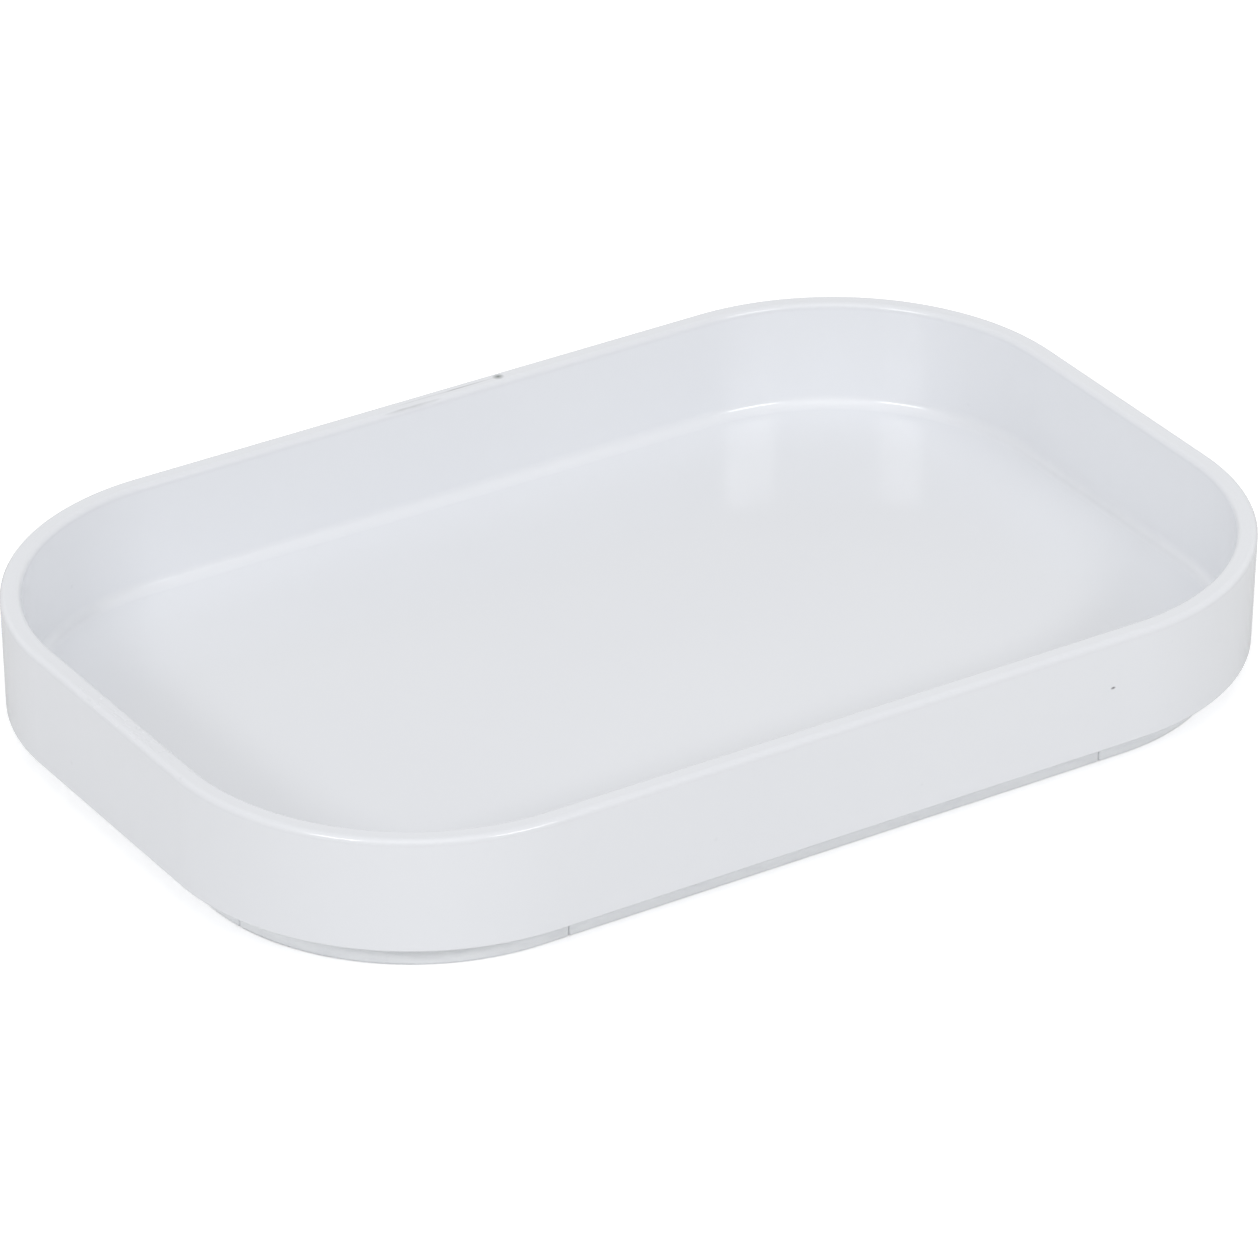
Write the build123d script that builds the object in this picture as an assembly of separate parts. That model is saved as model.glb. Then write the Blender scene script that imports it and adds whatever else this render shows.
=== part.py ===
from build123d import *
import os
from math import radians, tan

# Shallow roller tray: a moulded shell with a broad rolled-smooth rim, standing on a
# band of soft push-on feet.  Millimetres, +Z up, origin at the middle of the underside.
# X runs along the long sides, the front is -Y.

# Overall size, taken over the outside of the rim
LENGTH = 225.0
WIDTH = 150.0
HEIGHT = 29.2
CORNER_RADIUS = 49.3

# Shell
WALL = 3.9
DRAFT_ANGLE = 1.1
FLOOR_TOP = 7.2
FLOOR_UNDERSIDE = 4.3
WALL_BOTTOM = 6.25
FLOOR_FILLET = 2.4
RIM_OUTER_FILLET = 1.15
RIM_INNER_FILLET = 1.1
WALL_BOTTOM_FILLET = 0.4

# Foot band: offsets are measured inward from the outside of the rim
FOOT_OUTER_OFFSET = 6.1
FOOT_WIDTH = 5.0
FOOT_EDGE_FILLET = 0.6
FOOT_END_FILLET = 0.4

# Rib under the floor that the feet are pushed over
RIB_OUTER_OFFSET = 7.8
RIB_WIDTH = 1.6
RIB_BOTTOM = 1.5
RIB_CLEARANCE = 0.12
RIB_TIP_CLEARANCE = 0.3

# Breaks between the feet
BREAK_GAP = 0.1
LONG_SIDE_BREAK_X = 57.6
SHORT_SIDE_BREAK_Y = 34.6

DRAFT_SLOPE = tan(radians(DRAFT_ANGLE))


def outline(offset, z):
    """Plan outline of the tray, drawn at height z, a distance inside the rim."""
    shape = RectangleRounded(LENGTH - 2 * offset, WIDTH - 2 * offset, CORNER_RADIUS - offset)
    return Pos(0, 0, z) * shape


def prism(offset, z_bottom, z_top):
    """Straight-sided block that follows the outline."""
    return extrude(outline(offset, z_bottom), amount=z_top - z_bottom)


def drafted_prism(rim_offset, z_bottom, z_top):
    """Block that opens out upward at the draft angle and meets rim_offset at the rim."""
    bottom_offset = rim_offset + (HEIGHT - z_bottom) * DRAFT_SLOPE
    base = outline(bottom_offset, z_bottom)
    return extrude(base, amount=z_top - z_bottom, taper=-DRAFT_ANGLE)


def ring(outer_offset, width, z_bottom, z_top):
    """Endless band of rectangular section that follows the outline."""
    return prism(outer_offset, z_bottom, z_top) - prism(outer_offset + width, z_bottom, z_top)


def edges_at(shape, z):
    """Edges that lie wholly at height z."""
    return shape.edges().filter_by_position(Axis.Z, z - 0.01, z + 0.01)


def shell_body():
    """Outside of the shell: drafted wall, then a bevel running in under the floor."""
    wall_offset = (HEIGHT - WALL_BOTTOM) * DRAFT_SLOPE
    wall = drafted_prism(0.0, WALL_BOTTOM, HEIGHT)
    bevel = loft(
        [
            outline(FOOT_OUTER_OFFSET, FLOOR_UNDERSIDE).face(),
            outline(wall_offset, WALL_BOTTOM).face(),
        ],
        ruled=True,
    )
    body = wall + bevel
    body = fillet(edges_at(body, WALL_BOTTOM), WALL_BOTTOM_FILLET)
    return fillet(edges_at(body, HEIGHT), RIM_OUTER_FILLET)


def tray_cavity():
    """Space inside the tray, rounded where the walls run into the floor."""
    cavity = drafted_prism(WALL, FLOOR_TOP, HEIGHT + WALL)
    return fillet(edges_at(cavity, FLOOR_TOP), FLOOR_FILLET)


def tray_shell():
    """One-piece moulding: wall, rim, floor and the rib that carries the feet."""
    shell = shell_body() - tray_cavity()
    rim_face = shell.faces().sort_by(Axis.Z)[-1]
    shell = fillet(rim_face.inner_wires()[0].edges(), RIM_INNER_FILLET)
    return shell + ring(RIB_OUTER_OFFSET, RIB_WIDTH, RIB_BOTTOM, FLOOR_UNDERSIDE)


def foot_groove():
    """Endless groove in the top of the feet, a loose fit over the rib."""
    return ring(
        RIB_OUTER_OFFSET - RIB_CLEARANCE,
        RIB_WIDTH + 2 * RIB_CLEARANCE,
        RIB_BOTTOM - RIB_TIP_CLEARANCE,
        FLOOR_UNDERSIDE,
    )


def foot(size_x, size_y, centre_x, centre_y):
    """The stretch of foot inside a plan window, rounded at its ends and underneath."""
    band = ring(FOOT_OUTER_OFFSET, FOOT_WIDTH, 0.0, FLOOR_UNDERSIDE)
    window = Pos(centre_x, centre_y, 0) * Box(size_x, size_y, 2 * HEIGHT)
    piece = band & window
    piece = fillet(piece.edges().filter_by(Axis.Z), FOOT_END_FILLET)
    piece = fillet(edges_at(piece, 0.0), FOOT_EDGE_FILLET)
    return piece - foot_groove()


def corner_feet():
    """The four pieces that run round the corners."""
    x_start = LONG_SIDE_BREAK_X + BREAK_GAP / 2
    y_start = SHORT_SIDE_BREAK_Y + BREAK_GAP / 2
    size_x = LENGTH / 2 - x_start
    size_y = WIDTH / 2 - y_start
    feet = {}
    for y_name, y_sign in (("front", -1), ("back", 1)):
        for x_name, x_sign in (("left", -1), ("right", 1)):
            centre_x = x_sign * (x_start + size_x / 2)
            centre_y = y_sign * (y_start + size_y / 2)
            feet[f"corner_foot_{y_name}_{x_name}"] = foot(size_x, size_y, centre_x, centre_y)
    return feet


def side_feet():
    """The four pieces along the sides, between the corner pieces."""
    long_piece = 2 * LONG_SIDE_BREAK_X - BREAK_GAP
    short_piece = 2 * SHORT_SIDE_BREAK_Y - BREAK_GAP
    return {
        "side_foot_front": foot(long_piece, WIDTH / 2, 0, -WIDTH / 4),
        "side_foot_back": foot(long_piece, WIDTH / 2, 0, WIDTH / 4),
        "side_foot_left": foot(LENGTH / 2, short_piece, -LENGTH / 4, 0),
        "side_foot_right": foot(LENGTH / 2, short_piece, LENGTH / 4, 0),
    }


nodes = {"tray_shell": tray_shell()}
nodes.update(corner_feet())
nodes.update(side_feet())

os.makedirs("parts", exist_ok=True)
for node_name, node_shape in nodes.items():
    export_step(node_shape, f"parts/{node_name}.step")
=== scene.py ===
"""Shallow roller tray in glossy white plastic on a pale studio floor."""

import math

import bpy
from mathutils import Matrix, Vector


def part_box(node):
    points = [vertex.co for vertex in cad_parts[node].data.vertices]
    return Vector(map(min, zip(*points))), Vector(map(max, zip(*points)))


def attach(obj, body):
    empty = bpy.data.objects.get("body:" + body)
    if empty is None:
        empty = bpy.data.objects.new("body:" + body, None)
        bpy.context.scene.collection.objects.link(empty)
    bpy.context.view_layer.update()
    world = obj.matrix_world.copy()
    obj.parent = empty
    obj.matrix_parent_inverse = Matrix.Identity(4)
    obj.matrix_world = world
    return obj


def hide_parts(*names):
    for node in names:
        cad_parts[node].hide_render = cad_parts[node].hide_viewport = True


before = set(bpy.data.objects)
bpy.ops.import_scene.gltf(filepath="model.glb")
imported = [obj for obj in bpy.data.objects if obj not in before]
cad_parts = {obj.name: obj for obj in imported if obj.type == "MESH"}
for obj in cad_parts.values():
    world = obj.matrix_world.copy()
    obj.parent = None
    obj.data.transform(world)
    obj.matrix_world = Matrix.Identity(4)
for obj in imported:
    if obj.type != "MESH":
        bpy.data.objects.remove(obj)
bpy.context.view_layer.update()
MM = 0.001

# Section of the shell, in metres.  Offsets run inward from the outside of the rim.
CORNER_RADIUS = 49.3 * MM
WALL = 3.9 * MM
DRAFT_SLOPE = math.tan(math.radians(1.1))
FLOOR_TOP = 7.2 * MM
FLOOR_UNDERSIDE = 4.3 * MM
WALL_BOTTOM = 6.25 * MM
BEVEL_OFFSET = 6.1 * MM
RIB_OUTER_OFFSET = 7.8 * MM
RIB_INNER_OFFSET = 9.4 * MM
RIB_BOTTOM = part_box("tray_shell")[0].z
SHEET_OFFSET = 13.0 * MM

RIM_OUTER_FILLET = 1.15 * MM
RIM_INNER_FILLET = 1.1 * MM
FLOOR_FILLET = 2.4 * MM
WALL_BOTTOM_FILLET = 0.4 * MM
BEVEL_FILLET = 1.2 * MM
RIB_FILLET = 0.3 * MM

HALF_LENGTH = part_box("tray_shell")[1].x
HALF_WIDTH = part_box("tray_shell")[1].y
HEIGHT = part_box("tray_shell")[1].z

# Mesh density
CORNER_STEPS = 40
LONG_SIDE_STEPS = 32
SHORT_SIDE_STEPS = 14
FILLET_STEPS = 8
WALL_STEPS = 6
SHEET_RINGS = 8

# Camera: angles in degrees, distance and aim in metres, lens and sensor in millimetres
CAMERA_AZIMUTH = -32.77
CAMERA_ELEVATION = 29.62
CAMERA_DISTANCE = 1.596
CAMERA_LENS = 244.3
CAMERA_SENSOR = 36.0
CAMERA_ROLL = 0.14
CAMERA_AIM = Vector((0.0025, 0.0049, 0.0096))

# Studio
FLOOR_TONE = 0.98
FLOOR_GLOW = 0.30
FLOOR_REACH = 6.0
BOUNCE_TONE = 0.76
BOUNCE_DROP = 0.2 * MM
SOFTBOX_ELEVATION = 32
SOFTBOX_DISTANCE = 2.4
# Softboxes as (name, azimuth from the camera, width, height, brightness)
SOFTBOXES = (
    ("softbox_right", 46, 0.95, 0.30, 11.5),
    ("softbox_left", -33, 0.80, 0.34, 10.0),
)
GLOW_SHARPNESS = 5.0
# Soft glows of the room as (azimuth from the camera, elevation, brightness): two above
# the camera, three low ones on the far side and a faint one at the left
ROOM_GLOWS = (
    (0, 45, 1.2),
    (0, 65, 0.6),
    (120, 12, 1.2),
    (180, 12, 0.6),
    (240, 12, 1.2),
    (300, 12, 0.3),
)

# Colours of the plastic, of the marks on it and of the shade painted on it
PLASTIC_DARKER = (0.790, 0.805, 0.838)
PLASTIC_LIGHTER = (0.805, 0.820, 0.850)
RUB_TONE = (0.74, 0.75, 0.78)
# Tone of the shade painted into the rounding between the floor and the wall
FILLET_SHADE_TONE = (0.60, 0.62, 0.66)
# Tone of the shade painted on the rim's rounded edges to dull their highlight
RIM_EDGE_SHADE_TONE = (0.69, 0.70, 0.73)
WEAR_TONE = (0.68, 0.69, 0.71)
NICK_TONE = (0.55, 0.57, 0.58)
SCUFF_TONE = (0.36, 0.36, 0.37)
SPECK_TONE = (0.52, 0.53, 0.55)
PIT_TONE = (0.20, 0.20, 0.21)
CHIP_TONE = (0.24, 0.27, 0.26)
PLASTIC_IOR = 1.58

# Colours of the feet
FOOT_CLEAN = (0.90, 0.92, 0.94)
FOOT_DUSTY = (0.86, 0.88, 0.91)
FOOT_SCRAPED = (0.78, 0.80, 0.83)

# Single marks on the shell, as (place, reach along X, Y and Z)
RIM_CHIP = (Vector((16.0 * MM, HALF_WIDTH - 2.0 * MM, HEIGHT)), Vector((1.3, 1.1, 1.0)) * MM)
WALL_PIT = (Vector((56.0 * MM, -HALF_WIDTH, 19.0 * MM)), Vector((0.6, 1.5, 0.3)) * MM)
RIM_LINES = (
    (Vector((4.0 * MM, HALF_WIDTH - 2.0 * MM, HEIGHT)), Vector((13.0, 0.3, 1.0)) * MM),
    (Vector((-4.0 * MM, HALF_WIDTH - 3.5 * MM, HEIGHT)), Vector((7.0, 0.4, 1.5)) * MM),
)
RIM_RUB = (Vector((-HALF_LENGTH + 2.0 * MM, -4.0 * MM, HEIGHT)), Vector((6.0, 42.0, 4.0)) * MM)
# Scattered marks: distance apart and radius, and how far the nicks are drawn out
SPECK_SPACING = 11.0 * MM
SPECK_RADIUS = 0.6 * MM
NICK_SPACING = 2.2 * MM
NICK_RADIUS = 0.45 * MM
NICK_STRETCH = 3.0
# Where shade is painted into the rounding along the bottom of the inside wall
RIGHT_FILLET_SHADE = (
    Vector((HALF_LENGTH - 9.0 * MM, 0.0, FLOOR_TOP)),
    Vector((7.5, 48.0, 20.0)) * MM,
)
LEFT_FILLET_SHADE = (
    Vector((-80.0 * MM, 58.0 * MM, FLOOR_TOP)),
    Vector((13.0, 13.0, 20.0)) * MM,
)


def direction(azimuth, elevation):
    """Unit vector from the tray towards a camera or lamp at these angles, in degrees."""
    a = math.radians(azimuth)
    e = math.radians(elevation)
    return Vector((math.sin(a) * math.cos(e), -math.cos(a) * math.cos(e), math.sin(e)))


# ---------------------------------------------------------------- shell mesh


def outline_stations():
    """Points round the outline as (corner centre, outward direction), one turn."""
    cx = HALF_LENGTH - CORNER_RADIUS
    cy = HALF_WIDTH - CORNER_RADIUS
    centres = [Vector((cx, cy)), Vector((-cx, cy)), Vector((-cx, -cy)), Vector((cx, -cy))]
    side_steps = [LONG_SIDE_STEPS, SHORT_SIDE_STEPS, LONG_SIDE_STEPS, SHORT_SIDE_STEPS]
    stations = []
    for corner, centre in enumerate(centres):
        for step in range(CORNER_STEPS + 1):
            angle = math.radians(90) * (corner + step / CORNER_STEPS)
            stations.append((centre, Vector((math.cos(angle), math.sin(angle)))))
        outward = stations[-1][1]
        following = centres[(corner + 1) % 4]
        for step in range(1, side_steps[corner]):
            stations.append((centre.lerp(following, step / side_steps[corner]), outward))
    return stations


def rounded_profile(corners):
    """Section through rounded corners, as (outward, height, normal) with true normals.

    Each corner is (inward offset, height, fillet radius).  The path keeps the material
    on its right, so the normal is on its left.
    """
    points = [Vector((-offset, height)) for offset, height, radius in corners]
    radii = [radius for offset, height, radius in corners]
    profile = [(points[0], left_of(points[1] - points[0]))]
    for i in range(1, len(points) - 1):
        incoming = (points[i] - points[i - 1]).normalized()
        outgoing = (points[i + 1] - points[i]).normalized()
        turn = incoming.angle_signed(outgoing)
        reach = radii[i] * math.tan(abs(turn) / 2)
        start = points[i] - incoming * reach
        normal = left_of(incoming)
        add_straight(profile, start, normal)
        side = -1.0 if turn < 0 else 1.0
        centre = start - normal * radii[i] * side
        for step in range(1, FILLET_STEPS + 1):
            rotation = Matrix.Rotation(-turn * step / FILLET_STEPS, 2)
            spoke = rotation @ normal
            profile.append((centre + spoke * radii[i] * side, spoke))
    add_straight(profile, points[-1], profile[-1][1])
    return profile


def left_of(vector):
    """Unit vector a quarter turn anticlockwise from the given one."""
    return Vector((-vector.y, vector.x)).normalized()


def add_straight(profile, end, normal):
    """Carries the profile straight on to end, in steps where the run is long."""
    start = profile[-1][0]
    steps = WALL_STEPS if (end - start).length > WALL else 1
    for step in range(1, steps + 1):
        profile.append((start.lerp(end, step / steps), normal))


def shell_profile():
    """Section of the shell, from the floor over the rim to the underside."""
    inner_bottom = WALL + (HEIGHT - FLOOR_TOP) * DRAFT_SLOPE
    outer_bottom = (HEIGHT - WALL_BOTTOM) * DRAFT_SLOPE
    return rounded_profile(
        [
            (SHEET_OFFSET, FLOOR_TOP, 0.0),
            (inner_bottom, FLOOR_TOP, FLOOR_FILLET),
            (WALL, HEIGHT, RIM_INNER_FILLET),
            (0.0, HEIGHT, RIM_OUTER_FILLET),
            (outer_bottom, WALL_BOTTOM, WALL_BOTTOM_FILLET),
            (BEVEL_OFFSET, FLOOR_UNDERSIDE, BEVEL_FILLET),
            (RIB_OUTER_OFFSET, FLOOR_UNDERSIDE, RIB_FILLET),
            (RIB_OUTER_OFFSET, RIB_BOTTOM, RIB_FILLET),
            (RIB_INNER_OFFSET, RIB_BOTTOM, RIB_FILLET),
            (RIB_INNER_OFFSET, FLOOR_UNDERSIDE, RIB_FILLET),
            (SHEET_OFFSET, FLOOR_UNDERSIDE, 0.0),
        ]
    )


def shell_mesh():
    """Shell as one closed mesh: the section swept round, floor and underside filled."""
    stations = outline_stations()
    profile = shell_profile()
    count = len(stations)
    verts, normals, faces = [], [], []
    for point, normal in profile:
        for centre, outward in stations:
            plan = centre + outward * (CORNER_RADIUS + point.x)
            verts.append((plan.x, plan.y, point.y))
            normals.append((outward.x * normal.x, outward.y * normal.x, normal.y))
    for row in range(len(profile) - 1):
        faces += band_faces(row * count, (row + 1) * count, count, flip=True)
    add_sheet(verts, normals, faces, 0, count, up=1.0)
    add_sheet(verts, normals, faces, (len(profile) - 1) * count, count, up=-1.0)
    mesh = bpy.data.meshes.new("tray_shell_surface")
    mesh.from_pydata(verts, [], faces)
    mesh.polygons.foreach_set("use_smooth", [True] * len(mesh.polygons))
    mesh.normals_split_custom_set_from_vertices(normals)
    mesh.validate(clean_customdata=False)
    return mesh


def band_faces(first, second, count, flip):
    """Quads between two rings of vertices."""
    quads = []
    for i in range(count):
        j = (i + 1) % count
        quad = (first + i, first + j, second + j, second + i)
        quads.append(quad[::-1] if flip else quad)
    return quads


def add_sheet(verts, normals, faces, edge, count, up):
    """Fills the flat middle inside a ring with ever smaller rings and a centre point."""
    height = verts[edge][2]
    ring = edge
    for step in range(1, SHEET_RINGS):
        scale = 1 - step / SHEET_RINGS
        start = len(verts)
        for i in range(count):
            verts.append((verts[edge + i][0] * scale, verts[edge + i][1] * scale, height))
            normals.append((0.0, 0.0, up))
        faces += band_faces(ring, start, count, flip=up < 0)
        ring = start
    centre = len(verts)
    verts.append((0.0, 0.0, height))
    normals.append((0.0, 0.0, up))
    for i in range(count):
        j = (i + 1) % count
        triangle = (ring + i, ring + j, centre)
        faces.append(triangle[::-1] if up < 0 else triangle)


# ---------------------------------------------------------------- materials


class Nodes:
    """Small helper for building a node material."""

    def __init__(self, name):
        self.material = bpy.data.materials.new(name)
        self.material.use_nodes = True
        self.tree = self.material.node_tree
        self.shader = self.tree.nodes["Principled BSDF"]
        self.place = self.add("ShaderNodeTexCoord").outputs["Object"]

    def add(self, kind, **values):
        """New node, with attributes or input values set by name."""
        node = self.tree.nodes.new(kind)
        for key, value in values.items():
            if hasattr(node, key):
                setattr(node, key, value)
            else:
                node.inputs[key.replace("_", " ").title()].default_value = value
        return node

    def link(self, output, target):
        """Connects an output to an input."""
        self.tree.links.new(output, target)

    def noise(self, scale, detail=2.0, roughness=0.5):
        """Noise value at a scale in cycles per metre."""
        node = self.add("ShaderNodeTexNoise", scale=scale, detail=detail, roughness=roughness)
        self.link(self.place, node.inputs["Vector"])
        return node.outputs["Fac"]

    def spread(self, value, low, high, to_low, to_high):
        """Maps a value from one range to another, clamped."""
        node = self.add("ShaderNodeMapRange")
        for key, number in zip(("From Min", "From Max", "To Min", "To Max"),
                               (low, high, to_low, to_high)):
            node.inputs[key].default_value = number
        self.link(value, node.inputs["Value"])
        return node.outputs["Result"]

    def math(self, operation, first, second):
        """Arithmetic on two values, each a socket or a number."""
        node = self.add("ShaderNodeMath", operation=operation)
        for index, value in enumerate((first, second)):
            if isinstance(value, (int, float)):
                node.inputs[index].default_value = value
            else:
                self.link(value, node.inputs[index])
        return node.outputs[0]

    def mix(self, factor, first, second):
        """Colour mix; colours are sockets or RGB triples."""
        node = self.add("ShaderNodeMix", data_type="RGBA")
        self.link(factor, node.inputs["Factor"])
        for name, value in (("A", first), ("B", second)):
            socket = [s for s in node.inputs if s.name == name and s.type == "RGBA"][0]
            if isinstance(value, tuple):
                socket.default_value = (*value, 1.0)
            else:
                self.link(value, socket)
        return [s for s in node.outputs if s.type == "RGBA"][0]

    def bump(self, height, distance, strength, below=None):
        """Bump from a height, on top of another bump if given."""
        node = self.add("ShaderNodeBump", distance=distance, strength=strength)
        self.link(height, node.inputs["Height"])
        if below is not None:
            self.link(below, node.inputs["Normal"])
        return node.outputs["Normal"]

    def axis(self, name):
        """One coordinate of the place on the object."""
        node = self.add("ShaderNodeSeparateXYZ")
        self.link(self.place, node.inputs["Vector"])
        return node.outputs[name]

    def height_band(self, bottom, full_from, full_to, top):
        """One between the two inner heights, fading to nothing at the two outer ones."""
        height = self.axis("Z")
        rise = self.spread(height, bottom, full_from, 0.0, 1.0)
        return self.math("MULTIPLY", rise, self.spread(height, full_to, top, 1.0, 0.0))

    def patch(self, mark, softness=0.5):
        """One inside a mark's ellipsoid, fading to nothing at its edge."""
        centre, reach = mark
        shift = self.add("ShaderNodeVectorMath", operation="SUBTRACT")
        shift.inputs[1].default_value = centre
        self.link(self.place, shift.inputs[0])
        scaled = self.add("ShaderNodeVectorMath", operation="DIVIDE")
        scaled.inputs[1].default_value = reach
        self.link(shift.outputs["Vector"], scaled.inputs[0])
        length = self.add("ShaderNodeVectorMath", operation="LENGTH")
        self.link(scaled.outputs["Vector"], length.inputs[0])
        return self.spread(length.outputs["Value"], 1.0 - softness, 1.0, 1.0, 0.0)

    def scattered(self, spacing, radius, stretch=1.0):
        """One at scattered points, drawn out along Y, fading to nothing at a radius."""
        mapping = self.add("ShaderNodeMapping")
        mapping.inputs["Scale"].default_value = (1.0, 1.0 / stretch, 1.0)
        self.link(self.place, mapping.inputs["Vector"])
        node = self.add("ShaderNodeTexVoronoi", scale=1.0 / spacing)
        self.link(mapping.outputs["Vector"], node.inputs["Vector"])
        return self.spread(node.outputs["Distance"], 0.0, radius / spacing, 1.0, 0.0)

    def stretched_noise(self, stretch, scale, detail=2.0):
        """Noise drawn out by different amounts along X, Y and Z."""
        mapping = self.add("ShaderNodeMapping")
        mapping.inputs["Scale"].default_value = stretch
        self.link(self.place, mapping.inputs["Vector"])
        node = self.add("ShaderNodeTexNoise", scale=scale, detail=detail)
        self.link(mapping.outputs["Vector"], node.inputs["Vector"])
        return node.outputs["Fac"]


def rim_edge(n):
    """One on the rounded top of the wall, nothing below it."""
    return n.spread(n.axis("Z"), HEIGHT - 1.6 * MM, HEIGHT - 0.6 * MM, 0.0, 1.0)


def rim_edge_shade(n):
    """One on the two rounded edges of the rim, where shade is painted to dull their highlight;
    nothing on its flat top or below.
    """
    return n.height_band(
        HEIGHT - 1.5 * MM,
        HEIGHT - 0.9 * MM,
        HEIGHT - 0.3 * MM,
        HEIGHT - 0.03 * MM,
    )


def rim_rub(n):
    """Dulled, matted stretch at the left end of the rim, uneven along its length."""
    streaks = n.stretched_noise((1.0, 0.25, 1.0), 300.0, detail=3.0)
    uneven = n.spread(streaks, 0.35, 0.65, 0.5, 1.0)
    return n.math("MULTIPLY", n.math("MULTIPLY", n.patch(RIM_RUB, 0.7), uneven), rim_edge(n))


def rim_nicks(n):
    """Short dents scattered over the rubbed end of the rim, drawn out along it."""
    dents = n.scattered(NICK_SPACING, NICK_RADIUS, NICK_STRETCH)
    where = n.math("MULTIPLY", n.patch(RIM_RUB, 0.5), rim_edge(n))
    return n.math("MULTIPLY", dents, where)


def wall_specks(n):
    """Faint specks scattered over the walls, none on the floor."""
    above_floor = n.spread(n.axis("Z"), FLOOR_TOP, FLOOR_TOP + FLOOR_FILLET, 0.0, 1.0)
    return n.math("MULTIPLY", n.scattered(SPECK_SPACING, SPECK_RADIUS), above_floor)


def fine_wear(n):
    """Fine scattered scratches, slight all round the rim and stronger where it is rubbed."""
    strength = n.math("MAXIMUM", n.math("MULTIPLY", n.patch(RIM_RUB, 0.7), 0.18), 0.06)
    streaks = n.stretched_noise((1.0, 0.3, 1.0), 520.0, detail=3.0)
    scratches = n.spread(streaks, 0.54, 0.72, 0.0, 1.0)
    return n.math("MULTIPLY", n.math("MULTIPLY", scratches, strength), rim_edge(n))


def scuff_lines(n):
    """Two fine broken dark lines along the back rim."""
    lines = 0.0
    for mark in RIM_LINES:
        lines = n.math("MAXIMUM", n.patch(mark, 0.8), lines)
    broken = n.spread(n.stretched_noise((0.15, 1.0, 1.0), 900.0), 0.40, 0.60, 0.3, 1.0)
    return n.math("MULTIPLY", lines, broken)


def fillet_shade(n):
    """Thin, uneven band of painted shade in the rounding between the floor and the wall."""
    rounding = n.height_band(
        FLOOR_TOP,
        FLOOR_TOP + 0.4 * MM,
        FLOOR_TOP + 1.0 * MM,
        FLOOR_TOP + FLOOR_FILLET,
    )
    places = n.math("MAXIMUM", n.patch(RIGHT_FILLET_SHADE, 0.5), n.patch(LEFT_FILLET_SHADE, 0.4))
    film = n.spread(n.noise(170.0, detail=4.0, roughness=0.6), 0.3, 0.6, 0.6, 1.0)
    return n.math("MULTIPLY", n.math("MULTIPLY", places, rounding), film)


def plastic_marks(n):
    """The marks that show in more than one of colour, gloss and relief, by name."""
    return {
        "rub": rim_rub(n),
        "wear": fine_wear(n),
        "nicks": rim_nicks(n),
        "pit": n.patch(WALL_PIT, 0.9),
        "chip": n.patch(RIM_CHIP, 0.9),
    }


def plastic_colour(n, marks):
    """Faintly clouded white, toned by each mark and each painted shade in turn."""
    cloud = n.spread(n.noise(14.0, detail=3.0), 0.3, 0.7, 0.0, 1.0)
    colour = n.mix(cloud, PLASTIC_DARKER, PLASTIC_LIGHTER)
    for mark, strength, tone in (
        (marks["rub"], 0.3, RUB_TONE),
        # painted shade in the rounding at the foot of the inside wall
        (fillet_shade(n), 0.4, FILLET_SHADE_TONE),
        # painted shade on the rim's two rounded edges, dulling their highlight
        (rim_edge_shade(n), 0.3, RIM_EDGE_SHADE_TONE),
        (marks["wear"], 0.3, WEAR_TONE),
        (marks["nicks"], 0.2, NICK_TONE),
        (scuff_lines(n), 0.6, SCUFF_TONE),
        (wall_specks(n), 0.2, SPECK_TONE),
        (marks["pit"], 1.0, PIT_TONE),
        (marks["chip"], 1.0, CHIP_TONE),
    ):
        colour = n.mix(n.math("MULTIPLY", mark, strength), colour, tone)
    return colour


def plastic_roughness(n, marks):
    """Glossy with an uneven film, duller where the rim is rubbed or scratched."""
    film = n.spread(n.noise(55.0, detail=4.0, roughness=0.6), 0.3, 0.7, 0.13, 0.19)
    rubbed = n.math("MULTIPLY", marks["rub"], 0.12)
    scratched = n.math("MULTIPLY", marks["wear"], 0.3)
    return n.math("ADD", film, n.math("ADD", rubbed, scratched))


def plastic_relief(n, marks):
    """Orange peel and slow swell of the moulding, then its scratches, nicks and dents."""
    peel = n.bump(n.noise(900.0, detail=2.0), 0.02 * MM, 0.25)
    swell = n.bump(n.noise(38.0, detail=1.0), 0.1 * MM, 0.12, below=peel)
    scratched = n.bump(n.math("SUBTRACT", 1.0, marks["wear"]), 0.04 * MM, 0.4, below=swell)
    nicked = n.bump(n.math("SUBTRACT", 1.0, marks["nicks"]), 0.1 * MM, 0.7, below=scratched)
    dents = n.math("MAXIMUM", marks["pit"], n.math("MULTIPLY", marks["chip"], 0.6))
    return n.bump(n.math("SUBTRACT", 1.0, dents), 0.4 * MM, 0.8, below=nicked)


def white_plastic():
    """Glossy white moulded plastic with a faint orange peel, a worn rim and a few marks."""
    n = Nodes("white_gloss_plastic")
    marks = plastic_marks(n)
    n.link(plastic_colour(n, marks), n.shader.inputs["Base Color"])
    n.link(plastic_roughness(n, marks), n.shader.inputs["Roughness"])
    n.link(plastic_relief(n, marks), n.shader.inputs["Normal"])
    n.shader.inputs["IOR"].default_value = PLASTIC_IOR
    return n.material


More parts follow.
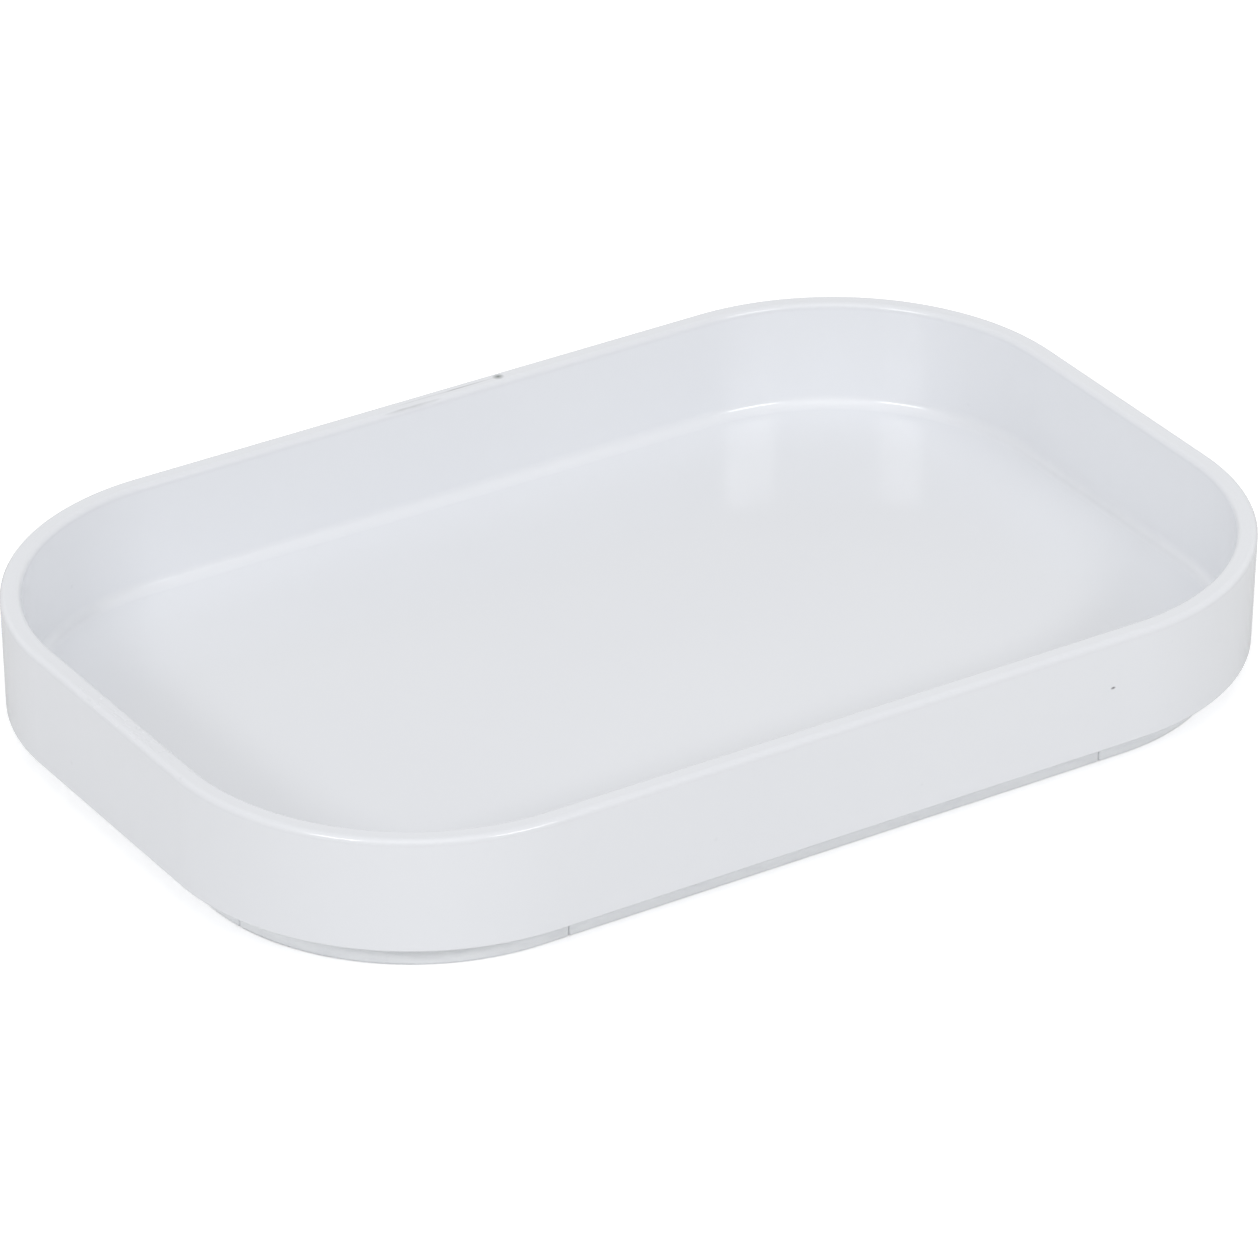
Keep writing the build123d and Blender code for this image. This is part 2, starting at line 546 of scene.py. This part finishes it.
def soft_foot():
    """Satin off-white elastomer of the feet, with a fine grain, a little dust and scrapes."""
    n = Nodes("soft_foot_elastomer")
    dust = n.spread(n.noise(260.0, detail=4.0, roughness=0.7), 0.45, 0.75, 0.0, 1.0)
    scrape = n.spread(n.stretched_noise((0.2, 0.2, 1.0), 700.0), 0.5, 0.7, 0.0, 1.0)
    colour = n.mix(dust, FOOT_CLEAN, FOOT_DUSTY)
    colour = n.mix(n.math("MULTIPLY", scrape, 0.4), colour, FOOT_SCRAPED)
    n.link(colour, n.shader.inputs["Base Color"])
    n.link(n.spread(dust, 0.0, 1.0, 0.42, 0.56), n.shader.inputs["Roughness"])
    n.link(n.bump(n.noise(2600.0, detail=2.0), 0.03 * MM, 0.5), n.shader.inputs["Normal"])
    return n.material


def studio_paint(name, tone, glow=0.0):
    """Plain matt paint of the studio floors, very faintly uneven, with or without a glow."""
    n = Nodes(name)
    cloud = n.spread(n.noise(3.0), 0.3, 0.7, 0.0, 1.0)
    colour = n.mix(cloud, (tone - 0.01,) * 3, (tone + 0.01,) * 3)
    n.link(colour, n.shader.inputs["Base Color"])
    n.shader.inputs["Roughness"].default_value = 0.9
    n.shader.inputs["Specular IOR Level"].default_value = 0.2
    n.shader.inputs["Emission Color"].default_value = (1.0, 1.0, 1.0, 1.0)
    n.shader.inputs["Emission Strength"].default_value = glow
    return n.material


# ---------------------------------------------------------------- pieces


def link_object(name, data):
    """New object in the scene."""
    piece = bpy.data.objects.new(name, data)
    bpy.context.scene.collection.objects.link(piece)
    return piece


def make_shell():
    """Shell in place of its CAD node, with finer rounding."""
    shell = link_object("tray_shell_moulding", shell_mesh())
    shell.data.materials.append(white_plastic())
    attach(shell, "root")
    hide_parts("tray_shell")


def finish_feet():
    """Better material on the CAD feet."""
    material = soft_foot()
    for name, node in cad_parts.items():
        if "_foot_" in name:
            node.data.materials.clear()
            node.data.materials.append(material)


# ---------------------------------------------------------------- studio


def floor_plane(name, height, material):
    """Large square at a height, marked as part of the studio."""
    mesh = bpy.data.meshes.new(name)
    signs = ((-1, -1), (1, -1), (1, 1), (-1, 1))
    corners = [(x * FLOOR_REACH, y * FLOOR_REACH, height) for x, y in signs]
    mesh.from_pydata(corners, [], [(0, 1, 2, 3)])
    plane = link_object(name, mesh)
    plane.data.materials.append(material)
    return plane


def make_floor():
    """White floor to look at, over a greyer one that the tray is lit and reflected by."""
    white = floor_plane("studio_floor", 0.0, studio_paint("floor_white", FLOOR_TONE, FLOOR_GLOW))
    white.visible_diffuse = False
    white.visible_glossy = False
    white.visible_shadow = False
    grey = floor_plane("bounce_floor", -BOUNCE_DROP, studio_paint("floor_grey", BOUNCE_TONE))
    grey.visible_camera = False


def softbox(name, azimuth, width, height, brightness):
    """Rectangular lamp that faces the tray, as bright to look at as brightness says."""
    lamp = bpy.data.lights.new(name, "AREA")
    lamp.shape = "RECTANGLE"
    lamp.size = width
    lamp.size_y = height
    lamp.energy = brightness * math.pi * width * height
    holder = link_object(name, lamp)
    toward = direction(azimuth, SOFTBOX_ELEVATION)
    holder.location = toward * SOFTBOX_DISTANCE
    holder.rotation_euler = toward.to_track_quat("Z", "Y").to_euler()


def room_glow(tree, azimuth, elevation, brightness):
    """One broad soft glow of the room, brightest in the given direction."""
    nodes = tree.nodes
    sight = nodes.new("ShaderNodeTexCoord")
    facing = nodes.new("ShaderNodeVectorMath")
    facing.operation = "DOT_PRODUCT"
    facing.inputs[1].default_value = direction(azimuth, elevation)
    tree.links.new(sight.outputs["Generated"], facing.inputs[0])
    exponent = nodes.new("ShaderNodeMath")
    exponent.operation = "MULTIPLY_ADD"
    exponent.inputs[1].default_value = GLOW_SHARPNESS
    exponent.inputs[2].default_value = math.log(brightness) - GLOW_SHARPNESS
    tree.links.new(facing.outputs["Value"], exponent.inputs[0])
    glow = nodes.new("ShaderNodeMath")
    glow.operation = "EXPONENT"
    tree.links.new(exponent.outputs[0], glow.inputs[0])
    return glow.outputs[0]


def make_room():
    """White room, lit by a few broad glows above the camera and low on the far side."""
    world = bpy.data.worlds.new("white_room")
    world.use_nodes = True
    tree = world.node_tree
    total = None
    for azimuth, elevation, brightness in ROOM_GLOWS:
        glow = room_glow(tree, CAMERA_AZIMUTH + azimuth, elevation, brightness)
        if total is not None:
            adder = tree.nodes.new("ShaderNodeMath")
            tree.links.new(total, adder.inputs[0])
            tree.links.new(glow, adder.inputs[1])
            glow = adder.outputs[0]
        total = glow
    background = tree.nodes["Background"]
    background.inputs["Color"].default_value = (1.0, 1.0, 1.0, 1.0)
    tree.links.new(total, background.inputs["Strength"])
    bpy.context.scene.world = world


def make_lights():
    """Two strip softboxes in front, one each side of the camera."""
    for name, azimuth, width, height, brightness in SOFTBOXES:
        softbox(name, CAMERA_AZIMUTH + azimuth, width, height, brightness)


def make_camera():
    """Long lens, looking down on the corner between the front and the left side."""
    data = bpy.data.cameras.new("camera")
    data.lens = CAMERA_LENS
    data.sensor_width = CAMERA_SENSOR
    camera = link_object("camera", data)
    camera.location = direction(CAMERA_AZIMUTH, CAMERA_ELEVATION) * CAMERA_DISTANCE
    sight = camera.location - CAMERA_AIM
    roll = Matrix.Rotation(math.radians(CAMERA_ROLL), 3, "Z")
    camera.rotation_euler = (sight.to_track_quat("Z", "Y").to_matrix() @ roll).to_euler()
    data.clip_start = 0.05
    data.clip_end = 50.0
    bpy.context.scene.camera = camera


make_shell()
finish_feet()
make_floor()
make_room()
make_lights()
make_camera()
bpy.context.scene.view_settings.view_transform = "Standard"
